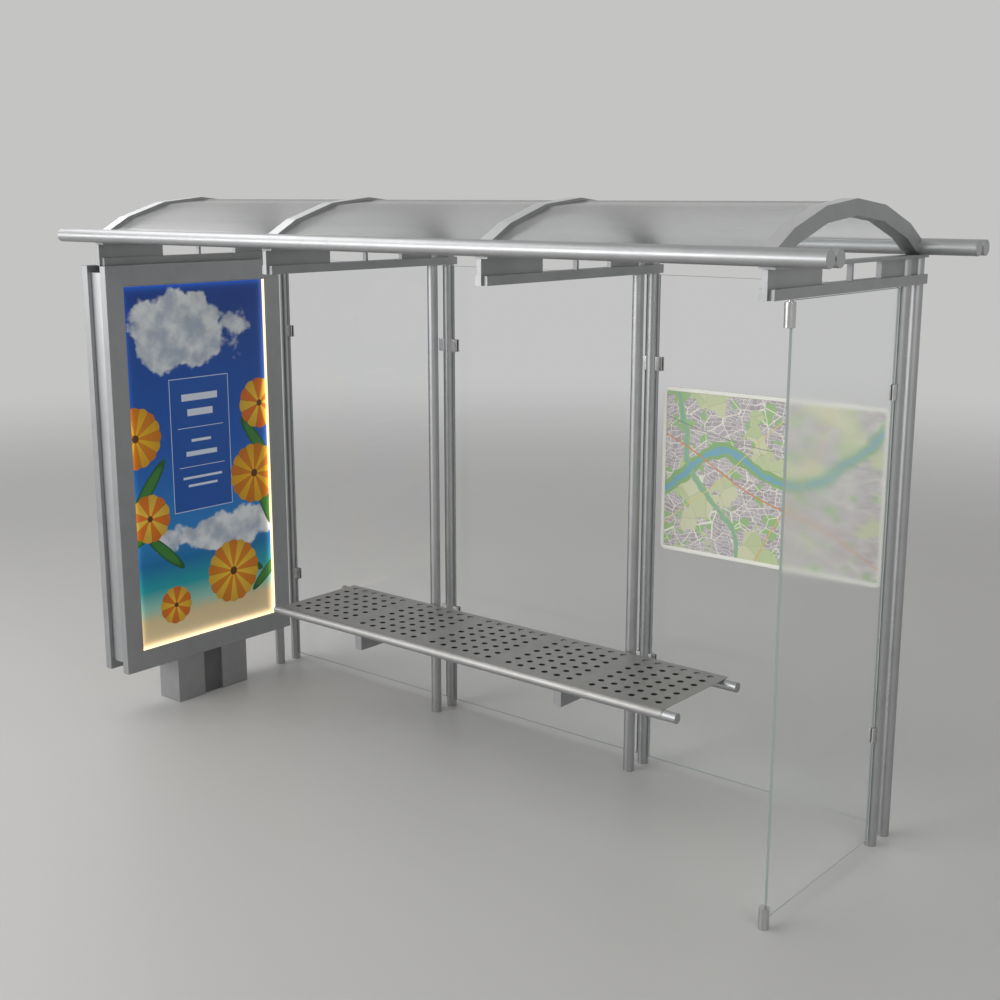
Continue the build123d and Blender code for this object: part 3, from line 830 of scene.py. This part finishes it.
class SHELTER_OT_side_fittings(bpy.types.Operator):
    """Model the foot, the top fitting and the two clamps of the side glass"""
    bl_idname = "shelter.side_fittings"
    bl_label = "Side glass fittings"

    def execute(self, context):
        low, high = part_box("side_glass_fittings")
        glass_low, glass_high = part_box("side_glass")
        x = centre_of("side_glass")[0]
        radius = 19 * MM
        y = low.y + radius
        slot_front = glass_low.y - CAD_FIT
        foot_top = 80 * MM
        top_start = 2088 * MM
        top_end = 2170 * MM
        pieces = []
        for name, bottom, top, slot_bottom, slot_top in (
                ("foot", 0, foot_top, glass_low.z, 1),
                ("top_fitting", top_start, top_end, 1, glass_high.z + CAD_FIT)):
            fitting = rod(name, radius, (x, y, bottom), (x, y, top))
            cut(fitting, block(name + "_slot", (x - HALF_SLOT, slot_front, slot_bottom),
                               (x + HALF_SLOT, y + 1, slot_top)))
            pieces.append(round_edges(fitting, 1.2 * MM))
        pin = rod("pin", 8 * MM, (x, y, top_end - 1 * MM), (x, y, high.z), sides=32)
        pieces.append(round_edges(pin, 0.4 * MM))
        pattern = clamp_pattern()
        post_y = centre_of("front_post_d")[1]
        for level in SIDE_CLAMP_LEVELS:
            pieces.append(copy_to(pattern, "clamp", (x, post_y, level), -math.pi / 2))
        discard(pattern)
        fittings = join(pieces, "steel_side_glass_fittings")
        dress(fittings, ["side_glass_fittings"], fitting_finish())
        return {"FINISHED"}


# ---------------------------------------------------------------- map case and poster display

# Models a printed sheet in the place of its node
def lay_print(node, edge, finish):
    low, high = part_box(node)
    sheet = round_edges(block("print_" + node, low, high), edge, segments=1)
    dress(sheet, [node], finish((low + high) / 2))


class SHELTER_OT_map_case(bpy.types.Operator):
    """Model the map case with its rounded corners and raised rim, and lay the printed sheet in it"""
    bl_idname = "shelter.map_case"
    bl_label = "Map case"

    def execute(self, context):
        rim = context.scene.panels.map_rim
        rim_height = 4.7 * MM
        low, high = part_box("map_case")
        x, y, z = centre_of("map_case")
        back = high.y - CAD_FIT
        case = flat_plane("board_map_case", (x, back, z), (high.x - low.x, high.z - low.z),
                          (math.pi / 2, 0, 0))
        open_edit(case)
        bpy.ops.mesh.select_mode(type="VERT")
        bpy.ops.mesh.select_all(action="SELECT")
        bpy.ops.mesh.bevel(offset=25 * MM, segments=8, affect="VERTICES")
        bpy.ops.mesh.select_all(action="SELECT")
        bpy.ops.mesh.extrude_region_move(TRANSFORM_OT_translate={"value": (0, low.y - back, 0)})
        face_outwards()
        pick_faces(case, lambda face: face.normal.y < -0.9)
        bpy.ops.mesh.inset(thickness=rim, depth=0)
        bpy.ops.mesh.extrude_region_move(TRANSFORM_OT_translate={"value": (0, rim_height, 0)})
        close_edit()
        # Round the rim's outer and inner edges, without the seams that cross it at the corners
        pick_edges(case, lambda a, b: max(a.y, b.y) < low.y + CAD_FIT
                   and not rim / 2 < (a - b).length < 2 * rim)
        bevel_picked(3 * MM, 4)
        dress(case, ["map_case"], case_finish(), smooth_angle=40)
        lay_print("map_sheet", 0.3 * MM, map_finish)
        return {"FINISHED"}


# A flat ring round an opening: a block inset on its two faces, with the insets bridged through
def ring(name, low, high, border):
    hoop = block(name, low, high)
    pick_faces(hoop, lambda face: abs(face.normal.x) > 0.9)
    bpy.ops.mesh.inset(thickness=border, depth=0, use_individual=True)
    bpy.ops.mesh.bridge_edge_loops()
    face_outwards()
    return hoop


class SHELTER_OT_display(bpy.types.Operator):
    """Model the poster display: its two frames, body, posters, light strips and plinth"""
    bl_idname = "shelter.display"
    bl_label = "Poster display"

    def execute(self, context):
        border = context.scene.panels.display_border
        for side in ("outer", "inner"):
            node = "display_frame_" + side
            rim = round_edges(ring("rim_" + node, *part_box(node), border), 2.5 * MM, segments=3)
            dress(rim, [node], display_finish())
            node = "poster_light_" + side
            low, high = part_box(node)
            strip = ring("strip_" + node, low, high, 3 * MM)
            dress(strip, [node], display_finish())
            # Only the faces that look into the opening are lit
            middle = (low + high) / 2
            reach = (high - low) / 2
            paint_faces(strip, strip_finish(), lambda face: abs(face.normal.x) < 0.5
                        and abs(face.center.y - middle.y) < reach.y - 1 * MM
                        and abs(face.center.z - middle.z) < reach.z - 1 * MM)
            lay_print("poster_" + side, 0.5 * MM, poster_finish)

        # The body's front end is rounded outwards
        low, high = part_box("display_body")
        bulge = 14 * MM
        half_width = (high.x - low.x) / 2
        arc_radius = (half_width ** 2 + bulge ** 2) / (2 * bulge)
        middle = (low.x + high.x) / 2
        arc_y = low.y + arc_radius
        body = block("body_display", (low.x, low.y + bulge, low.z), high)
        nose = rod("body_nose", arc_radius, (middle, arc_y, low.z), (middle, arc_y, high.z), sides=96)
        keep = block("nose_keep", (low.x - 1, low.y - 1, low.z - 1),
                     (high.x + 1, low.y + bulge + 5 * MM, high.z + 1))
        combine(nose, keep, "INTERSECT")
        combine(body, nose, "UNION")
        round_edges(body, 1.5 * MM, angle=40)
        dress(body, ["display_body"], display_finish())

        # The plinth stands on two legs with a panel set back between them
        low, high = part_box("display_plinth")
        plinth = block("plinth_display", low, high)
        leg = 164 * MM
        recess = 14 * MM
        for start, end in ((low.x - 1, low.x + recess), (high.x - recess, high.x + 1)):
            cut(plinth, block("plinth_cut", (start, low.y + leg, low.z - 1), (end, high.y - leg, high.z + 1)))
        round_edges(plinth, 2 * MM)
        dress(plinth, ["display_plinth"], plinth_finish())
        # Painted shade: the faces of the set-back panel get a dark grey
        paint_faces(plinth, recess_painted_shade_finish(), lambda face: abs(face.normal.x) > 0.5
                    and low.x + recess / 2 < face.center.x < high.x - recess / 2)
        return {"FINISHED"}


# ---------------------------------------------------------------- bench

class SHELTER_OT_bench(bpy.types.Operator):
    """Model the bench: its two tubes, the rolled and punched seat sheet and the two brackets"""
    bl_idname = "shelter.bench"
    bl_label = "Bench"

    def execute(self, context):
        settings = context.scene.bench
        radius = settings.tube_diameter / 2
        tube_rows = []
        for node in ("bench_front_tube", "bench_rear_tube"):
            low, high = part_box(node)
            y, z = centre_of(node)[1:]
            tube_rows.append((y, z))
            tube = rod("steel_" + node, radius, (low.x, y, z), (high.x, y, z), TUBE_SIDES)
            dress(round_edges(tube, 1 * MM), [node], steel_finish())

        # The sheet is rolled over the front tube and lies flat on the rear one
        low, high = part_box("bench_seat")
        front_y, tube_z = tube_rows[0]
        middle = (low.x + high.x) / 2
        seat = flat_plane("steel_bench_seat", (middle, (front_y + high.y) / 2, high.z),
                          (high.x - low.x, high.y - front_y))
        pick_edges(seat, lambda a, b: abs(a.y - front_y) < CAD_FIT and abs(b.y - front_y) < CAD_FIT)
        bpy.ops.mesh.spin(steps=8, angle=math.pi / 2, center=(middle, front_y, tube_z), axis=(-1, 0, 0))
        close_edit()
        open_edit(seat)
        bpy.ops.mesh.remove_doubles(threshold=WELD)
        face_outwards()
        apply_modifier(seat, "SOLIDIFY", thickness=settings.sheet_thickness, offset=-1)

        # The holes are drawn down into short collars, but for the row over the rear tube
        groups, along, across = 5, 6, 7
        collar_wall = 1.2 * MM
        collar_depth = 9 * MM
        group_pitch = 437 * MM
        pitch = 64.5 * MM
        first_x = middle - group_pitch * (groups - 1) / 2 - pitch * (along - 1) / 2
        first_y = low.y + 74.5 * MM
        hole_radius = settings.hole_diameter / 2
        under = high.z - settings.sheet_thickness
        tools = (
            ("seat_collars", "UNION", hole_radius + collar_wall, under - collar_depth, under + 0.5 * MM,
             across - 1),
            ("seat_punch", "DIFFERENCE", hole_radius, high.z - 20 * MM, high.z + 12 * MM, across),
        )
        for name, operation, tool_radius, bottom, top, rows in tools:
            tool = rod(name, tool_radius, (first_x, first_y, bottom), (first_x, first_y, top), sides=20)
            for count, step in ((along, (pitch, 0, 0)), (rows, (0, pitch, 0)), (groups, (group_pitch, 0, 0))):
                apply_modifier(tool, "ARRAY", count=count, use_relative_offset=False,
                               use_constant_offset=True, constant_offset_displace=step)
            combine(seat, tool, operation)
        dress(seat, ["bench_seat"], seat_finish(), smooth_angle=30)
        ends = (high.x - low.x) / 2 - 5 * MM
        # Painted shade: the collar walls are dark so the holes read dark
        paint_faces(seat, collar_painted_shade_finish(), lambda face: abs(face.normal.z) < 0.5
                    and face.center.z < high.z - 0.5 * MM and face.center.y > first_y - 2 * hole_radius
                    and abs(face.center.x - middle) < ends)

        # Each bracket is a bar from its post, with a saddle under the front tube
        low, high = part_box("bench_brackets")
        saddle_thickness = 3 * MM
        saddle_length = 46 * MM
        half_saddle = 23.5 * MM
        half_bracket = 19.5 * MM
        post_y = centre_of("front_post_b")[1]
        bar_top = high.z - saddle_thickness
        bracket = block("bracket_pattern", (-half_bracket, low.y, low.z), (half_bracket, post_y, bar_top))
        saddle = block("bracket_saddle", (-half_saddle, low.y, bar_top),
                       (half_saddle, low.y + saddle_length, high.z))
        combine(bracket, saddle, "UNION")
        for y, z in tube_rows:
            cut(bracket, rod("tube_notch", radius + CAD_FIT, (-1, y, z), (1, y, z), TUBE_SIDES))
        cut(bracket, post_bore(post_y, 0, 1))
        round_edges(bracket, 1.2 * MM)
        brackets = []
        for post in ("front_post_b", "front_post_c"):
            brackets.append(copy_to(bracket, "bracket", (centre_of(post)[0], 0, 0)))
        discard(bracket)
        dress(join(brackets, "steel_bench_brackets"), ["bench_brackets"], plate_finish())
        return {"FINISHED"}


# ---------------------------------------------------------------- stage

# One where a ray comes straight from the camera or by a mirror or glass, and nought for light that is spread
def seen_directly(tree):
    path = add_node(tree, "LightPath").outputs
    mirrored = add_node(
        tree, "Math", {0: path["Is Camera Ray"], 1: path["Is Glossy Ray"]}, operation="MAXIMUM")
    return add_node(tree, "Math", {0: mirrored, 1: path["Is Transmission Ray"]}, operation="MAXIMUM")


class SHELTER_OT_stage(bpy.types.Operator):
    """Lay the pale floor, hang the soft lamps and set the camera"""
    bl_idname = "shelter.stage"
    bl_label = "Studio stage"

    def execute(self, context):
        scene = context.scene
        backdrop_colour = (*scene.stage.backdrop_colour, 1.0)
        floor = flat_plane("studio_floor", (0, 0, 0), (60, 60))
        material, tree, shader = new_material("studio_floor_paint")
        place = add_node(tree, "TexCoord").outputs["Object"]
        cloud = add_node(tree, "TexNoise", {"Vector": place, "Scale": 3.0})
        rough = add_node(tree, "MapRange", {"Value": cloud, "To Min": 0.40, "To Max": 0.46})
        feed(tree, shader, {"Base Color": (*scene.stage.floor_colour, 1.0), "Roughness": rough})
        # Far from the shelter the floor fades into the backdrop, so no horizon line shows
        reach = add_node(tree, "VectorMath", {0: place}, operation="LENGTH")
        fade = add_node(tree, "MapRange", {"Value": reach, "From Min": 4.0, "From Max": 14.0},
                        interpolation_type="SMOOTHSTEP")
        amount = add_node(tree, "Math", {0: fade, 1: seen_directly(tree)}, operation="MULTIPLY")
        glow = add_node(tree, "Emission", {"Color": backdrop_colour, "Strength": 1.0})
        mixed = add_node(tree, "MixShader", {0: amount, 1: shader, 2: glow})
        feed(tree, tree.nodes["Material Output"], {"Surface": mixed})
        floor.data.materials.append(material)

        world = bpy.data.worlds.new("studio_world")
        scene.world = world
        world.use_nodes = True
        tree = world.node_tree
        background = tree.nodes["Background"]
        feed(tree, background, {"Color": "#FFFFFF", "Strength": scene.stage.room_light})
        backdrop = add_node(tree, "Background", {"Color": backdrop_colour, "Strength": 1.0})
        mixed = add_node(tree, "MixShader", {0: seen_directly(tree), 1: background, 2: backdrop})
        feed(tree, tree.nodes["World Output"], {"Surface": mixed})

        # Each lamp: its name, place, width, height and power, all turned to the middle of the shelter
        lamps = (
            ("overhead_softbox", (-4.2, -1.4, 5.8), 6.0, 2.4, 125),
            ("street_softbox", (-2.6, -6.2, 2.8), 3.4, 1.6, 160),
            ("kerb_softbox", (-6.4, -4.8, 2.9), 2.6, 1.8, 75),
            ("end_softbox", (6.5, -3.5, 4.0), 2.4, 2.4, 80),
        )
        aim = Vector((0, 0, 1.2))
        for name, place, width, height, power in lamps:
            light = bpy.data.lights.new(name, "AREA")
            light.shape = "RECTANGLE"
            light.size = width
            light.size_y = height
            light.energy = power
            lamp = bpy.data.objects.new(name, light)
            scene.collection.objects.link(lamp)
            lamp.location = place
            lamp.visible_transmission = False
            lamp.rotation_euler = (aim - Vector(place)).to_track_quat("-Z", "Y").to_euler()

        lens = bpy.data.cameras.new("camera")
        lens.lens = 50.66
        lens.sensor_width = 36
        camera = bpy.data.objects.new("camera", lens)
        scene.collection.objects.link(camera)
        camera.location = (3.8545, -4.418, 2.503)
        camera.rotation_euler = (math.radians(77.737), 0, math.radians(39.652))
        scene.camera = camera
        scene.view_settings.view_transform = "Standard"
        return {"FINISHED"}


class SHELTER_PT_panel(bpy.types.Panel):
    """Sizes, colours and steps of the shelter"""
    bl_label = "Bus Shelter"
    bl_idname = "SHELTER_PT_panel"
    bl_space_type = "VIEW_3D"
    bl_region_type = "UI"
    bl_category = "Shelter"

    def draw(self, context):
        layout = self.layout
        for owner in GROUPS:
            group = getattr(context.scene, owner)
            for name in group.__annotations__:
                layout.prop(group, name)
        for operator in OPERATORS:
            layout.operator(operator.bl_idname)


GROUPS = {
    "steelwork": SteelworkSettings,
    "glazing": GlazingSettings,
    "bench": BenchSettings,
    "panels": PanelSettings,
    "stage": StageSettings,
}
OPERATORS = (
    SHELTER_OT_posts,
    SHELTER_OT_beams,
    SHELTER_OT_eaves,
    SHELTER_OT_ribs,
    SHELTER_OT_roof_sheets,
    SHELTER_OT_glass,
    SHELTER_OT_clamps,
    SHELTER_OT_side_fittings,
    SHELTER_OT_map_case,
    SHELTER_OT_display,
    SHELTER_OT_bench,
    SHELTER_OT_stage,
)


def register():
    for owner, group in GROUPS.items():
        bpy.utils.register_class(group)
        setattr(bpy.types.Scene, owner, bpy.props.PointerProperty(type=group))
    for cls in OPERATORS + (SHELTER_PT_panel,):
        bpy.utils.register_class(cls)


def unregister():
    for cls in reversed(OPERATORS + (SHELTER_PT_panel,)):
        bpy.utils.unregister_class(cls)
    for owner, group in GROUPS.items():
        delattr(bpy.types.Scene, owner)
        bpy.utils.unregister_class(group)


def main():
    register()
    bpy.ops.shelter.posts()
    bpy.ops.shelter.beams()
    bpy.ops.shelter.eaves()
    bpy.ops.shelter.ribs()
    bpy.ops.shelter.roof_sheets()
    bpy.ops.shelter.glass()
    bpy.ops.shelter.clamps()
    bpy.ops.shelter.side_fittings()
    bpy.ops.shelter.map_case()
    bpy.ops.shelter.display()
    bpy.ops.shelter.bench()
    bpy.ops.shelter.stage()


if __name__ == "__main__":
    main()
